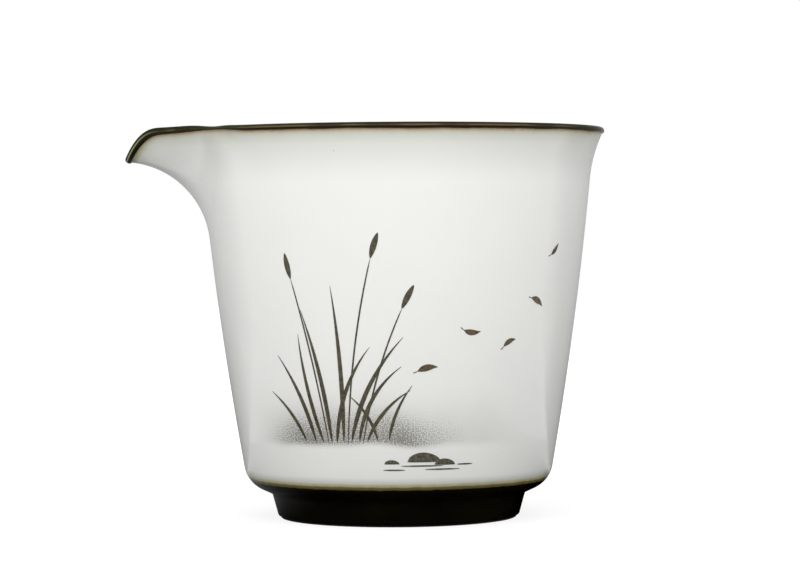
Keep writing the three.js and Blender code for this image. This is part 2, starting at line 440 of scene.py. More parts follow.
# %% Wandering lines
rim_reach = 1.1
rim_reach_up = 0.6
overlap_reach = 0.9
rim_wander = 0.1
overlap_wander = 0.09
pinch_climb = 0.6
pinch_climb_width = math.radians(9)
tip_drop = 0.25


def waves(angle, counts_and_turns):
    waving = [np.sin(count * angle + turn) for count, turn in counts_and_turns]
    return sum(waving) / len(waving)


def outer_radius(z):
    return np.where(z < wall_top, np.interp(z, outside[:, 1], outside[:, 0]), wall_radius(z))


def near(z, middle, reach_down, reach_up):
    return np.exp(-(((z - middle) / np.where(z < middle, reach_down, reach_up)) ** 2))


def wander(points):
    """Shifts the glaze lines up or down along the wall."""
    x, y, z = points.T
    angle = np.arctan2(y, -x)
    rim = rim_wander * waves(angle, ((5, 1.3), (11, 4.1), (17, 0.7), (29, 2.6)))
    rim = rim + pinch_climb * bell(angle, pinch_angle, pinch_climb_width)
    rim = rim - tip_drop * bell(angle, 0, pouring_spread)
    low = overlap_wander * waves(angle, ((4, 2.2), (9, 0.4), (14, 5.0), (23, 3.3)))
    overlap_height = foot_height + white_start
    shift = rim * near(z, wall_top, rim_reach, rim_reach_up)
    shift = shift + low * near(z, overlap_height, overlap_reach, overlap_reach)
    grown = outer_radius(z + shift) - outer_radius(z)
    scale = 1 + grown / np.maximum(np.hypot(x, y), 1)
    return np.column_stack([x * scale, y * scale, z + shift])


print("the white glaze climbs", pinch_climb, "mm at the pinches")

# %% [markdown]
# ## Throwing a piece
# The wheel is Blender's Spin operator. The section starts as a circle primitive with one vertex for
# each of its points, laid out in the upright plane, and is spun once round the axis. The columns are
# then crowded towards the beak, where the shape changes fastest, and the beak is pulled. The height
# and the radius that each point had on the wheel are kept in attributes, so that a glaze can tell
# how near it is to its own edge, also out on the beak.

# %% Points of a mesh, in millimetres
column_crowding = 0.4


def points_of(piece):
    flat = np.empty(len(piece.data.vertices) * 3, np.float32)
    piece.data.vertices.foreach_get("co", flat)
    return flat.reshape(-1, 3).astype(float) / mm


def lay_points(piece, points):
    piece.data.vertices.foreach_set("co", (np.asarray(points) * mm).astype(np.float32).ravel())
    piece.data.update()


def crowd(points):
    x, y, z = points.T
    angle = np.arctan2(y, -x)
    radius = np.hypot(x, y)
    moved = angle - column_crowding * (np.sin(angle) + np.sin(2 * angle) / 4)
    return np.column_stack([-radius * np.cos(moved), radius * np.sin(moved), z])


sides = crowd(np.array([[-mouth_radius, 1, 0], [mouth_radius, 1, 0]]))
print("columns 1 mm from the middle plane move to", np.abs(sides[:, 1]).round(2).tolist())

# %% From section to piece
columns = 224
sharp_angle = math.radians(40)
weld = 1e-7


def name_of_node(name):
    return name.removesuffix("_fine")


def new_object(name, add, **settings):
    """Adds a primitive, a lamp or a camera, with nothing else selected."""
    bpy.ops.object.select_all(action="DESELECT")
    add(**settings)
    made = bpy.context.object
    made.name = made.data.name = name
    return made


def face_outwards():
    """Turns every face of the piece in hand outwards, and smooths all but its sharp edges."""
    bpy.ops.object.mode_set(mode="EDIT")
    bpy.ops.mesh.select_all(action="SELECT")
    bpy.ops.mesh.normals_make_consistent(inside=False)
    bpy.ops.object.mode_set(mode="OBJECT")
    bpy.ops.object.shade_smooth_by_angle(angle=sharp_angle)


def throw(name, section):
    """Spins a closed section round the axis, pulls the beak and puts the piece in its place."""
    piece = new_object(name, bpy.ops.mesh.primitive_circle_add, vertices=len(section))
    lay_points(piece, [(radius, 0, z) for radius, z in section])
    bpy.ops.object.mode_set(mode="EDIT")
    bpy.ops.mesh.select_all(action="SELECT")
    bpy.ops.mesh.spin(steps=columns, angle=math.tau, center=(0, 0, 0), axis=(0, 0, 1))
    bpy.ops.mesh.select_all(action="SELECT")
    bpy.ops.mesh.remove_doubles(threshold=weld)
    bpy.ops.mesh.dissolve_degenerate(threshold=weld)
    bpy.ops.mesh.delete_loose(use_verts=True, use_edges=True, use_faces=False)
    bpy.ops.object.mode_set(mode="OBJECT")

    turned = crowd(points_of(piece))
    kept = {"thrown_height": turned[:, 2], "thrown_radius": np.hypot(turned[:, 0], turned[:, 1])}
    for label, values in kept.items():
        attribute = piece.data.attributes.new(label, "FLOAT", "POINT")
        attribute.data.foreach_set("value", values.astype(np.float32))
    pulled = pull(wander(turned))
    lay_points(piece, pulled + [axis_x, 0, table_height])
    face_outwards()
    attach(piece, "root")
    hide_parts(name_of_node(name))
    print(name, len(piece.data.polygons), "faces,", [round(side / mm, 2) for side in piece.dimensions])
    return piece


# %% [markdown]
# ## The clay
# The clay body is the bowl itself. Nearly all of it is hidden by glaze, but it is modelled whole,
# because a glaze lies on something. The foot ring is luted on under the floor, and its resting edge
# is the only place where bare clay shows.

# %% Clay body and foot ring
underside = [[0, joint[1]]]
clay_body_section = np.concatenate([underside, clay_outside[1:], clay_lip, clay_bowl_inside])
clay_body = throw("clay_body_fine", clay_body_section)

outer_edge = corner_points(recess_foot, foot_wall_foot, joint, foot_edge_round, edge_steps)
inner_edge = corner_points(recess_top, recess_foot, foot_wall_foot, foot_edge_round, edge_steps)
foot_ring_section = np.array([*inner_edge, *outer_edge, joint, recess_top])
foot_ring = throw("foot_ring_fine", foot_ring_section)

# %% [markdown]
# ## The coats of glaze
# White covers the wall, dark covers the inside, the lip, the shoulder, the foot and the recess under
# the floor. Where the white coat was laid over the dark one it thins out to an olive line.

# %% Coats
overlap_end = place_of_height(foot_height + white_start)
overlap_start = place_of_height(foot_height + white_start - overlap_width)
foot_glaze_start = place_of_height(bare_edge)
glaze_end_round = 0.36
top = len(stations) - 1

white_glaze = throw("white_glaze_fine", coat(overlap_end, top))
overlap_line = throw("overlap_line_fine", coat(overlap_start, overlap_end))
foot_glaze = throw(
    "foot_glaze_fine",
    coat_with_round_foot(foot_glaze_start, overlap_start, glaze_end_round, edge_steps),
)
inner_glaze = throw("inner_glaze_fine", np.concatenate([clay_bowl_inside[::-1], bowl_inside]))
rim_section = np.concatenate([[clay_outside[-1]], outside_lip, [clay_inside[-1]], clay_lip[::-1]])
rim_glaze = throw("rim_glaze_fine", rim_section)

# %% The coat under the floor, which stops at the bare edge
ceiling = joint[1] - glaze
coat_end = on_line(recess_foot, recess_top, bare_edge)
wall_low = coat_end - [glaze, 0]
wall_high = np.array([recess_top[0] - glaze, ceiling])
recess_round = corner_points(wall_low, wall_high, (0, ceiling), neck_round, edge_steps)
base_points = [(0, joint[1]), recess_top, coat_end, wall_low, *recess_round, (0, ceiling)]
base_glaze = throw("base_glaze_fine", np.array(base_points, float))

# %% [markdown]
# ## Wiring shader nodes
# A glaze is built from nodes, and most of the work is joining sockets. These few helpers do it with
# one short line each: a value that is a socket is linked, any other value is typed in, and a node
# goes into the tree that its inputs come from. Colours are written as three levels, as a paint
# program shows them, and turned into the linear values that a shader wants.

# %% Colours, sockets and nodes


def linear(*levels):
    """A colour from its levels of 0 to 255 as a screen shows them."""
    shares = [level / 255 for level in levels]
    curve = [c / 12.92 if c <= 0.04045 else ((c + 0.055) / 1.055) ** 2.4 for c in shares]
    return (*curve, 1.0)


def feed(socket, value):
    """Joins a socket to another, or types a value in. Three levels are taken as a colour."""
    if isinstance(value, bpy.types.NodeSocket):
        socket.id_data.links.new(value, socket)
    else:
        in_levels = isinstance(value, tuple) and len(value) == 3
        socket.default_value = linear(*value) if in_levels else value


def tree_of(*values):
    """The node tree that the first socket among some values belongs to."""
    return next(value.id_data for value in values if isinstance(value, bpy.types.NodeSocket))


def new_node(tree, kind, *values, **settings):
    """A node with its settings, and with values for its first sockets."""
    node = tree.nodes.new("ShaderNode" + kind)
    for label, setting in settings.items():
        setattr(node, label, setting)
    for socket, value in zip(node.inputs, values):
        feed(socket, value)
    return node


print("a middle grey in linear light is", round(linear(128)[0], 3))

# %% Sums, products, blends and fades


def sums(operation, *values):
    return new_node(tree_of(*values), "Math", *values, operation=operation).outputs[0]


def times(value, *others):
    for other in others:
        value = sums("MULTIPLY", value, other)
    return value


def blend(share, first, second, mode="MIX"):
    """One Mix node on two colours."""
    tree = tree_of(share, first, second)
    node = new_node(tree, "Mix", share, data_type="RGBA", blend_type=mode)
    feed(node.inputs[6], first)
    feed(node.inputs[7], second)
    return node.outputs[2]


def fade(value, low, high, at_low=0.0, at_high=1.0, curve="SMOOTHSTEP"):
    """A soft step from one value to another, as something passes between two limits."""
    limits = (low, high, at_low, at_high)
    return new_node(tree_of(value), "MapRange", value, *limits, interpolation_type=curve).outputs[0]


# %% Noise and bands of colour


def noise(place, size, detail=2.0, roughness=0.5):
    """Soft noise whose waves are about as long as the size, in the units of the place."""
    node = new_node(tree_of(place), "TexNoise", place)
    feed(node.inputs["Scale"], 1 / size)
    feed(node.inputs["Detail"], detail)
    feed(node.inputs["Roughness"], roughness)
    return node.outputs["Fac"]


def ramp(value, low, high, stops):
    """Colours along a length, given as places in millimetres with their levels."""
    node = new_node(tree_of(value), "ValToRGB", fade(value, low, high, curve="LINEAR"))
    elements = node.color_ramp.elements
    while len(elements) < len(stops):
        elements.new(0.5)
    for element, (place, *levels) in zip(elements, stops):
        element.position = (place - low) / (high - low)
        element.color = linear(*levels)
    return node.outputs["Color"]


# %% Node groups
number, vector, color = "NodeSocketFloat", "NodeSocketVector", "NodeSocketColor"


def new_group(name, inputs, outputs):
    """An empty node group. Returns its tree, what comes in and what has to be fed out."""
    tree = bpy.data.node_groups.new(name, "ShaderNodeTree")
    for way, sockets in (("INPUT", inputs), ("OUTPUT", outputs)):
        for label, kind in sockets.items():
            tree.interface.new_socket(label, in_out=way, socket_type=kind)
    start = tree.nodes.new("NodeGroupInput")
    end = tree.nodes.new("NodeGroupOutput")
    return tree, start.outputs, end.inputs


def use(group, **values):
    """Places a group. Its sockets are named with underscores for spaces."""
    node = new_node(tree_of(*values.values()), "Group", node_tree=bpy.data.node_groups[group])
    for label, value in values.items():
        feed(node.inputs[label.replace("_", " ")], value)
    return node.outputs


# %% [markdown]
# ## Effects that several finishes share
# Each of these is a node group. One unrolls the wall, so that a pattern can be drawn in millimetres
# round the bowl and up it. The others are the habits of real glaze: it mottles, it dries with a
# faint orange peel, gas leaves pinholes, and where one coat runs out over another the colour passes
# through olive and red-brown.

# %% The wall unrolled
unrolled_radius = 37.0

tree, given, out = new_group(
    "round_the_bowl", {"Position": vector}, {"Around": number, "Height": number, "Sheet": vector}
)
axes = new_node(tree, "SeparateXYZ", given["Position"]).outputs
sideways = sums("SUBTRACT", axes["X"], axis_x * mm)
forward = times(axes["Y"], -1.0)
turn = sums("ARCTAN2", sideways, forward)
around = times(turn, unrolled_radius)
up = sums("MULTIPLY_ADD", axes["Z"], 1 / mm, -table_height)
feed(out["Around"], around)
feed(out["Height"], up)
feed(out["Sheet"], new_node(tree, "CombineXYZ", around, up).outputs[0])
print("the unrolled wall is", round(math.tau * unrolled_radius, 1), "mm long")

# %% Mottle and orange peel
tree, given, out = new_group("mottle", {"Position": vector}, {"Broad": number, "Fine": number})
feed(out["Broad"], noise(given["Position"], 16 * mm, 3))
feed(out["Fine"], noise(given["Position"], 1.3 * mm, 3, 0.6))

tree, given, out = new_group("orange_peel", {"Position": vector}, {"Height": number})
slow = noise(given["Position"], 9 * mm, 1)
quick = noise(given["Position"], 1.6 * mm, 1)
feed(out["Height"], sums("MULTIPLY_ADD", quick, 0.12, slow))

# %% Pinholes
pinhole_spacing = 7.0
pinhole_share = 0.3
pinhole_floor = 0.3  # share of a hole's radius that is flat

tree, given, out = new_group("pinholes", {"Position": vector, "Radius": number}, {"Mask": number})
cells = new_node(tree, "TexVoronoi", given["Position"])
feed(cells.inputs["Scale"], 1 / (pinhole_spacing * mm))
cell_color = new_node(tree, "SeparateColor", cells.outputs["Color"])
chosen = sums("LESS_THAN", cell_color.outputs["Red"], pinhole_share)
edge = sums("DIVIDE", given["Radius"], pinhole_spacing)
hole = fade(cells.outputs["Distance"], times(edge, pinhole_floor), edge, 1.0, 0.0)
feed(out["Mask"], times(hole, chosen))
print("pinholes:", len(tree.nodes), "nodes")

# %% A stippled wash, such as a printed halftone or a splashed pigment leaves
dot_pitch = 0.36
dot_scatter = 0.7
dot_growth = 0.7
dot_softness = 0.16

tree, given, out = new_group("stipple", {"Sheet": vector, "Density": number}, {"Mask": number})
dots = new_node(tree, "TexVoronoi", given["Sheet"], voronoi_dimensions="2D")
feed(dots.inputs["Scale"], 1 / dot_pitch)
feed(dots.inputs["Randomness"], dot_scatter)
widest = times(given["Density"], dot_growth)
inner = sums("SUBTRACT", widest, dot_softness)
feed(out["Mask"], fade(dots.outputs["Distance"], inner, widest, 1.0, 0.0))
print("stipple:", len(tree.nodes), "nodes")

# %% How the colour passes from dark glaze to white
darkest = (13, 12, 7)
whitest = (241, 241, 239)
overlap_stops = (
    (7.2, *darkest),
    (7.72, 24, 15, 6),
    (7.86, 66, 48, 22),
    (7.98, 116, 105, 62),
    (8.3, 136, 127, 78),
    (8.46, 150, 143, 98),
    (8.58, 202, 200, 172),
    (8.95, 222, 221, 206),
    (9.4, 228, 228, 221),
    (9.9, 236, 236, 234),
    (10.4, *whitest),
)
# From 68 mm up to the amber, the white is painted a little greyer towards the lip: painted shade under
# the flared lip. The amber fringe above it is the glaze's own colour.
fringe_and_shade_stops = (
    (68.0, *whitest),
    (71.1, 238, 238, 236),
    (74.4, 235, 236, 232),
    (76.1, 232, 234, 227),
    (77.5, 221, 224, 214),
    (78.1, 210, 207, 191),
    (78.36, 200, 188, 160),
    (78.55, 176, 157, 124),
    (78.72, 160, 136, 98),
    (78.88, 116, 92, 56),
)

tree, given, out = new_group(
    "glaze_lines", {"Thrown Height": number, "Drift": number}, {"Low": color, "High": color}
)
lifted = sums("ADD", given["Thrown Height"], given["Drift"])
feed(out["Low"], ramp(lifted, 7, 10.5, overlap_stops))
feed(out["High"], ramp(lifted, 68, 79, fringe_and_shade_stops))
print("groups:", [group.name for group in bpy.data.node_groups])

# %% [markdown]
# ## The finishes
# Every finish starts the same way: a Principled shader with its roughness and its shine, and the
# place on the object. What differs from place to place is then worked out in nodes, and a value that
# is the same all over is typed into the shader itself.

# %% The start of a finish


def new_finish(name, roughness, specular):
    material = bpy.data.materials.new(name)
    material.use_nodes = True
    tree = material.node_tree
    shader = tree.nodes["Principled BSDF"].inputs
    feed(shader["Roughness"], roughness)
    feed(shader["Specular IOR Level"], specular)
    return material, tree, shader, new_node(tree, "TexCoord").outputs["Object"]


def kept_from_wheel(tree, label):
    return new_node(tree, "Attribute", attribute_name=label).outputs["Fac"]


# %% The skin of a glaze, and the ends of the bowl


def bump(height, strength, depth):
    node = new_node(tree_of(height), "Bump", strength, depth * mm)
    feed(node.inputs["Height"], height)
    return node.outputs[0]


def glaze_skin(place, strength, depth, holes=0.0):
    """The normal of a glaze with its orange peel and, where it has them, its pinholes."""
    peel = use("orange_peel", Position=place)["Height"]
    return bump(sums("SUBTRACT", peel, holes), strength, depth)


def ends_of(wall):
    """How far along the wall the tip or the point opposite it is, and one on the beak's side."""
    along = sums("ABSOLUTE", wall["Around"])
    from_end = sums("ABSOLUTE", sums("ADD", along, -unrolled_radius * math.pi / 2))
    return from_end, sums("LESS_THAN", wall["Around"], 0.0)


# %% The glaze lines, which wander a little more finely than the mesh does
line_drift = 0.3
drift_length = 1.8


def lines_of(place):
    """The colours near the two glaze lines."""
    ragged = sums("SUBTRACT", noise(place, drift_length * mm), 0.5)
    thrown_height = kept_from_wheel(tree_of(place), "thrown_height")
    return use("glaze_lines", Thrown_Height=thrown_height, Drift=times(ragged, line_drift))


# %% [markdown]
# ## White glaze
# An opaque white that is a little warm, glossy and not quite level. Round its lower third lies a
# thin stippled mist, denser where the grass stands, and it fades upwards. The mist is printed colour
# under the gloss, so it belongs to this material and not to a mesh.

# %% Where the mist lies
mist_floor = 16.0
mist_rise = 13.0
mist_thinning = 1.4
mist_roll, roll_length = 2.4, 21.0
mist_left, left_fade = -42.0, 26.0
mist_right, right_fade = 34.0, 42.0
wisp_size = 12.0


def mist_density(wall):
    rolling = times(noise(wall["Around"], roll_length, 0), mist_roll)
    above = sums("SUBTRACT", wall["Height"], sums("ADD", rolling, mist_floor))
    thinning = sums("POWER", fade(above, 0.0, mist_rise, 1.0, 0.0), mist_thinning)
    lower_edge = fade(above, -1.4, 0.6)
    left_end = fade(wall["Around"], mist_left, mist_left + left_fade)
    right_end = fade(wall["Around"], mist_right, mist_right - right_fade)
    wisps = fade(noise(wall["Sheet"], wisp_size, 1), 0.3, 0.7, 0.75, 1.1)
    return times(thinning, lower_edge, left_end, right_end, wisps)


# %% The white coat, with an olive patch under the beak's tip
tip_reach = 7.0
tip_color = (150, 152, 96)

white, tree, shader, place = new_finish("white_glaze", 0.1, 0.5)
wall = use("round_the_bowl", Position=place)
patches = use("mottle", Position=place)
lines = lines_of(place)
body = blend(1.0, lines["Low"], lines["High"], "DARKEN")
tint = blend(patches["Broad"], (255, 255, 253), (250, 250, 249))
body = blend(1.0, body, tint, "MULTIPLY")

from_end, beak_side = ends_of(wall)
at_tip = fade(from_end, 0.0, tip_reach, 1.0, 0.0)
under_rim = fade(kept_from_wheel(tree, "thrown_height"), 77.2, 78.7)
olive_patch = times(at_tip, beak_side, under_rim, 0.8)
body = blend(olive_patch, body, tip_color)
print("olive patch:", tip_reach, "mm to both sides of the tip")

# %% The mist on it, and its skin
mist_color = (108, 104, 84)
mist_shadow = (62, 58, 40)
mist_veil, dot_strength = 0.5, 0.6
pinhole_color = (120, 108, 88)

density = mist_density(wall)
dots = use("stipple", Sheet=wall["Sheet"], Density=density)
mist = blend(density, mist_color, mist_shadow)
body = blend(times(density, mist_veil), body, mist)
body = blend(times(dots["Mask"], dot_strength), body, mist)

holes = use("pinholes", Position=place, Radius=0.2)["Mask"]
body = blend(times(holes, 0.4), body, pinhole_color)
feed(shader["Base Color"], body)
feed(shader["Roughness"], sums("MULTIPLY_ADD", patches["Fine"], 0.05, 0.075))
feed(shader["Normal"], glaze_skin(place, 0.5, 0.04, holes))
print("white glaze:", len(tree.nodes), "nodes")

# %% [markdown]
# ## Olive line and dark glaze
# The overlap line and the foot take their colour from the same glaze lines as the white coat, so the
# change from white through olive and red-brown to black runs across three meshes without a seam.
# The dark glaze is an iron glaze fired nearly black, a little olive where it is thick.

# %% The olive line
olive, tree, shader, place = new_finish("olive_glaze", 0.12, 0.4)
patches = use("mottle", Position=place)
streaks = blend(patches["Fine"], (255, 253, 244), (226, 220, 202))
olive_color = blend(1.0, lines_of(place)["Low"], streaks, "MULTIPLY")
feed(shader["Base Color"], olive_color)
feed(shader["Normal"], glaze_skin(place, 0.5, 0.05))
print("olive glaze:", len(tree.nodes), "nodes")

# %% The dark glaze below it and inside
thick_tint = (20, 18, 6)


def iron_glaze(name, meets_white):
    """Nearly black. It takes the colours of the overlap only where it meets the white coat."""
    finish, tree, shader, place = new_finish(name, 0.1, 0.35)
    body = lines_of(place)["Low"] if meets_white else darkest
    patches = use("mottle", Position=place)
    thick = fade(patches["Broad"], 0.42, 0.66)
    holes = use("pinholes", Position=place, Radius=0.26)
    body = blend(thick, body, thick_tint, "LIGHTEN")
    feed(shader["Base Color"], blend(holes["Mask"], body, (46, 44, 38)))
    feed(shader["Roughness"], sums("MULTIPLY_ADD", patches["Fine"], 0.1, 0.06))
    feed(shader["Normal"], glaze_skin(place, 0.6, 0.05))
    return finish


dark_outside = iron_glaze("dark_glaze_outside", True)
dark_inside = iron_glaze("dark_glaze_inside", False)
print(dark_outside.name, "and", dark_inside.name)

# %% [markdown]
# ## The rim
# On the outside of the lip the dark glaze is thick at its lower edge, and higher up it is thin and
# breaks to a grey brown, which is also a painted highlight along the rounded lip: the glaze is given
# almost no shine of its own. Out at the beak's tip it has run together, with one olive streak that is
# a painted glint. At the pinches and on the side away from the beak it is a dark green.

# %% Bands of colour on the rim, with a painted highlight along the lip
rim_and_highlight_stops = (
    (78.85, 96, 76, 44),
    (78.96, 38, 26, 8),
    (79.08, 24, 12, 0),
    (79.2, 26, 14, 1),
    # From 79.32 to 79.6 mm the grey brown is a painted highlight along the rounded lip, partly also
    # the thin glaze breaking to brown.
    (79.32, 80, 70, 50),
    (79.48, 102, 92, 72),
    (79.6, 57, 51, 36),
    (79.74, 42, 38, 25),
)

rim, tree, shader, place = new_finish("rim_glaze", 0.18, 0.05)
thrown_height = kept_from_wheel(tree, "thrown_height")
body = ramp(thrown_height, 78.5, 80.2, rim_and_highlight_stops)
uneven = fade(noise(place, 7 * mm, 2), 0.4, 0.6, 0.3, 1.0)
body = blend(uneven, (36, 29, 15), body)
leaning_green = fade(noise(place, 24 * mm, 0), 0.42, 0.6)
tint = blend(leaning_green, (255, 247, 238), (216, 232, 186))
body = blend(1.0, body, tint, "MULTIPLY")
print("bands from", rim_and_highlight_stops[0][0], "to", rim_and_highlight_stops[-1][0], "mm")

# %% Green at the pinches and opposite the beak, and brown inside
green_end = 11.0

from_end, beak_side = ends_of(use("round_the_bowl", Position=place))
from_pinch = sums("ABSOLUTE", sums("SUBTRACT", from_end, pinch_angle * unrolled_radius))
at_pinch = fade(from_pinch, 4.0, green_end, 0.85, 0.0)
far_end = fade(from_end, 18.0, 28.0, 0.92, 0.0)
rather_pinch = sums("SUBTRACT", at_pinch, far_end)
green = sums("MULTIPLY_ADD", beak_side, rather_pinch, far_end)
body = blend(green, body, (32, 34, 6))
thrown_radius = kept_from_wheel(tree, "thrown_radius")
inner_side = fade(thrown_radius, lip_centre[0] - 0.3, lip_centre[0], 1, 0)
body = blend(inner_side, body, (30, 23, 12))
print("green within", round(math.degrees(green_end / unrolled_radius)), "degrees of each pinch")

# %% Nearly black at the beak's tip, with one olive streak along the crest that is a painted glint
glint_low, glint_high, glint_edge = 79.26, 79.56, 0.1

at_tip = times(fade(from_end, 2.0, 8.5, 1.0, 0.0), beak_side)
body = blend(times(at_tip, 0.9), body, (17, 15, 4))
tip_glint = fade(thrown_height, glint_low, glint_low + glint_edge)
tip_glint = times(tip_glint, fade(thrown_height, glint_high, glint_high - glint_edge))
# The olive streak is a painted glint: a highlight painted along the lip's crest near the tip.
body = blend(times(at_tip, tip_glint, 0.9), body, (162, 164, 112))
feed(shader["Base Color"], body)
feed(shader["Normal"], glaze_skin(place, 0.6, 0.06))
print("rim glaze:", len(tree.nodes), "nodes")

# %% [markdown]
# ## Bare clay
# Only the narrow resting edge of the foot shows clay. It is stoneware with a fine dark grit, wiped
# clean before the firing. Just above the table the iron of the glaze has stained it nearly black.

# %% The clay
clay, tree, shader, place = new_finish("bare_clay", 0.85, 0.25)
patches = use("mottle", Position=place)
grit = fade(noise(place, 0.35 * mm, 3, 0.7), 0.52, 0.66)
body = blend(patches["Broad"], (122, 94, 74), (98, 74, 58))
body = blend(times(grit, 0.6), body, (50, 37, 28))
stain = fade(kept_from_wheel(tree, "thrown_height"), 0.01, 0.12)
feed(shader["Base Color"], blend(stain, body, (22, 17, 12)))
feed(shader["Roughness"], fade(patches["Fine"], 0.3, 0.7, 0.7, 0.95))
feed(shader["Normal"], bump(noise(place, 0.3 * mm, 3, 0.7), 0.6, 0.1))
print("bare clay:", len(tree.nodes), "nodes")

# %% Each piece gets its finish
finishes = (
    ("white_glaze", white, (white_glaze,)),
    ("olive_glaze", olive, (overlap_line,)),
    ("dark_glaze", dark_outside, (foot_glaze,)),
    ("dark_glaze", dark_inside, (inner_glaze, base_glaze)),
    ("dark_glaze", rim, (rim_glaze,)),
    ("bare_clay", clay, (clay_body, foot_ring)),
)
for slot, finish, pieces in finishes:
    for piece in pieces:
        piece.data.materials.append(finish)
    print(finish.name, "on", [piece.name for piece in pieces])

# %% [markdown]
# ## A printed decoration
# The wall carries a small brush-like print: grass and reeds that rise out of the mist, leaves
# on the wind, and stones in still water. Such a transfer is a film of colour a few hundredths of a
# millimetre thick, so each shape is drawn flat on the unrolled wall, given that thickness, and laid
# on the bowl. One tapering blade is enough for all of them. It becomes a reed, a leaf, a ripple or a
# stone by its length, its width and its bend.

# %% The blade that every shape starts from
film = 0.03
film_lift = 0.02
blade_cuts = 18
straight = 1e-6  # radians, a bend too small to see


def along_arc(start, heading, bend, length, share):
    """Where a stroke has got to, and where it heads there. Headings lean right from upright."""
    turn = math.radians(bend) or straight
    first = math.radians(heading)
    now = first + turn * share
    x = start[0] + length * (math.cos(first) - np.cos(now)) / turn
    y = start[1] + length * (np.sin(now) - math.sin(first)) / turn
    return x, y, now


def blade(start, heading, bend, length, width, fullness=1.0, skew=1.0, flat_side=0.0):
    """A blade on the unrolled wall, with its angles in degrees."""
    grid = {"x_subdivisions": blade_cuts, "y_subdivisions": 4, "size": mm}
    piece = new_object("blade", bpy.ops.mesh.primitive_grid_add, **grid)
    along, across, _ = (points_of(piece) + [0.5, 0, 0]).T
    x, y, now = along_arc(start, heading, bend, length, along)
    half = width / 2 * np.sin(math.pi * np.clip(along, 0, 1) ** skew) ** fullness + film
    side = half * (across * 2 - flat_side)
    points = [x + side * np.cos(now), y - side * np.sin(now), np.zeros(len(x))]
    lay_points(piece, np.column_stack(points))
    return piece


# %% Laying a print on the wall


def lay_on_wall(name, blades, finish):
    """Joins flat shapes, gives them their thickness and wraps them round the bowl."""
    bpy.ops.object.select_all(action="DESELECT")
    for piece in blades:
        piece.select_set(True)
    bpy.context.view_layer.objects.active = blades[0]
    bpy.ops.object.join()
    piece = bpy.context.object
    piece.name = piece.data.name = name
    thicken = piece.modifiers.new("film", "SOLIDIFY")
    thicken.thickness = film * mm
    thicken.offset = 1
    bpy.ops.object.modifier_apply(modifier=thicken.name)
    around, up, out_by = points_of(piece).T
    turn = around / unrolled_radius
    radius = wall_radius(up) + film_lift + (out_by - out_by.min())
    x, y = radius * np.sin(turn), -radius * np.cos(turn)
    lay_points(piece, np.column_stack([x + axis_x, y, up + table_height]))
    face_outwards()
    piece.data.materials.append(finish)
    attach(piece, "root")
    print(name, len(piece.data.polygons), "faces")


# %% Print colours, with the white showing through between the dots


def ink(name, deep, pale, cover):
    finish, tree, shader, place = new_finish(name, 0.2, 0.4)
    wall = use("round_the_bowl", Position=place)
    patches = use("mottle", Position=place)
    grain = fade(noise(wall["Sheet"], 0.9, 3, 0.65), 0.3, 0.7)
    tone = blend(grain, deep, pale)
    dots = use("stipple", Sheet=wall["Sheet"], Density=cover)
    feed(shader["Base Color"], blend(dots["Mask"], (206, 205, 196), tone))
    feed(shader["Roughness"], sums("MULTIPLY_ADD", patches["Fine"], 0.08, 0.14))
    return finish


grass_ink = ink("grass_ink", (36, 34, 22), (84, 76, 44), 1.7)
leaf_ink = ink("leaf_ink", (44, 36, 22), (98, 76, 38), 1.7)
stone_ink = ink("stone_ink", (58, 56, 46), (104, 100, 84), 1.4)
print("grass ink:", len(grass_ink.node_tree.nodes), "nodes")

# %% Grass and reeds, which rise out of the mist on the left
grass_foot = (-15.0, 17.2)
grass_blades = (
    (-6.5, -24, -34, 13, 0.7),
    (-4.0, -12, -26, 19, 0.85),
    (-2.0, -20, 18, 22, 0.8),
    (0.0, -4, -14, 27, 0.9),
    (1.2, 6, 34, 21, 0.85),
    (2.8, 3, -10, 31, 0.9),
    (4.6, 14, 30, 24, 0.9),
    (6.4, 9, 46, 18, 0.8),
    (8.2, 24, 38, 14, 0.7),
    (10.5, -14, -40, 11, 0.6),
    (13.0, 10, 30, 12, 0.6),
)
reeds = ((-0.8, -7, -7, 33), (3.8, 5, 9, 37), (7.2, 12, 12, 28))
seed_head = 5.2
pieces = []
for x, heading, bend, length, width in grass_blades:
    foot = (grass_foot[0] + x, grass_foot[1] + abs(x) / 16)
    pieces.append(blade(foot, heading, bend, length, width, fullness=0.9, skew=0.62))
for x, heading, bend, length in reeds:
    foot = (grass_foot[0] + x, grass_foot[1])
    pieces.append(blade(foot, heading, bend, length, 0.3, fullness=0.3))
    tip = along_arc(foot, heading, bend, length, 1)[:2]
    pieces.append(blade(tip, heading + bend, 6, seed_head, 1.15, fullness=0.7))
lay_on_wall("grass_print", pieces, grass_ink)

# %% Leaves on the wind
leaves = (
    (4.0, 31.5, 62, 34, 4.4, 1.25),
    (13.5, 39.5, 118, -46, 3.8, 1.1),
    (23.0, 36.0, 40, 50, 3.4, 1.0),
    (29.5, 45.5, 96, 40, 4.0, 1.2),
    (34.5, 54.0, 60, -30, 3.2, 0.9),
)
pieces = []
for x, y, heading, bend, length, width in leaves:
    pieces.append(blade((x, y), heading, bend, length, width, fullness=1.1, skew=0.85))
    pieces.append(blade((x, y), heading + 180, 20, 0.9, 0.12, fullness=0.5))
lay_on_wall("leaves_print", pieces, leaf_ink)

# %% Stones in still water
stones = ((2.0, 13.6, 7.6, 1.9), (8.2, 13.0, 4.8, 1.2), (-3.2, 13.2, 3.4, 0.8))
ripples = ((0.5, 12.8, 9.6), (6.0, 12.1, 8.2), (-3.5, 12.0, 5.0), (13.5, 13.0, 3.8))
pieces = [
    blade((x, y), 90, 0, length, high, fullness=0.55, skew=0.9, flat_side=0.92)
    for x, y, length, high in stones
]
pieces += [blade((x, y), 90, 0, length, 0.24, fullness=0.6) for x, y, length in ripples]
lay_on_wall("stones_print", pieces, stone_ink)

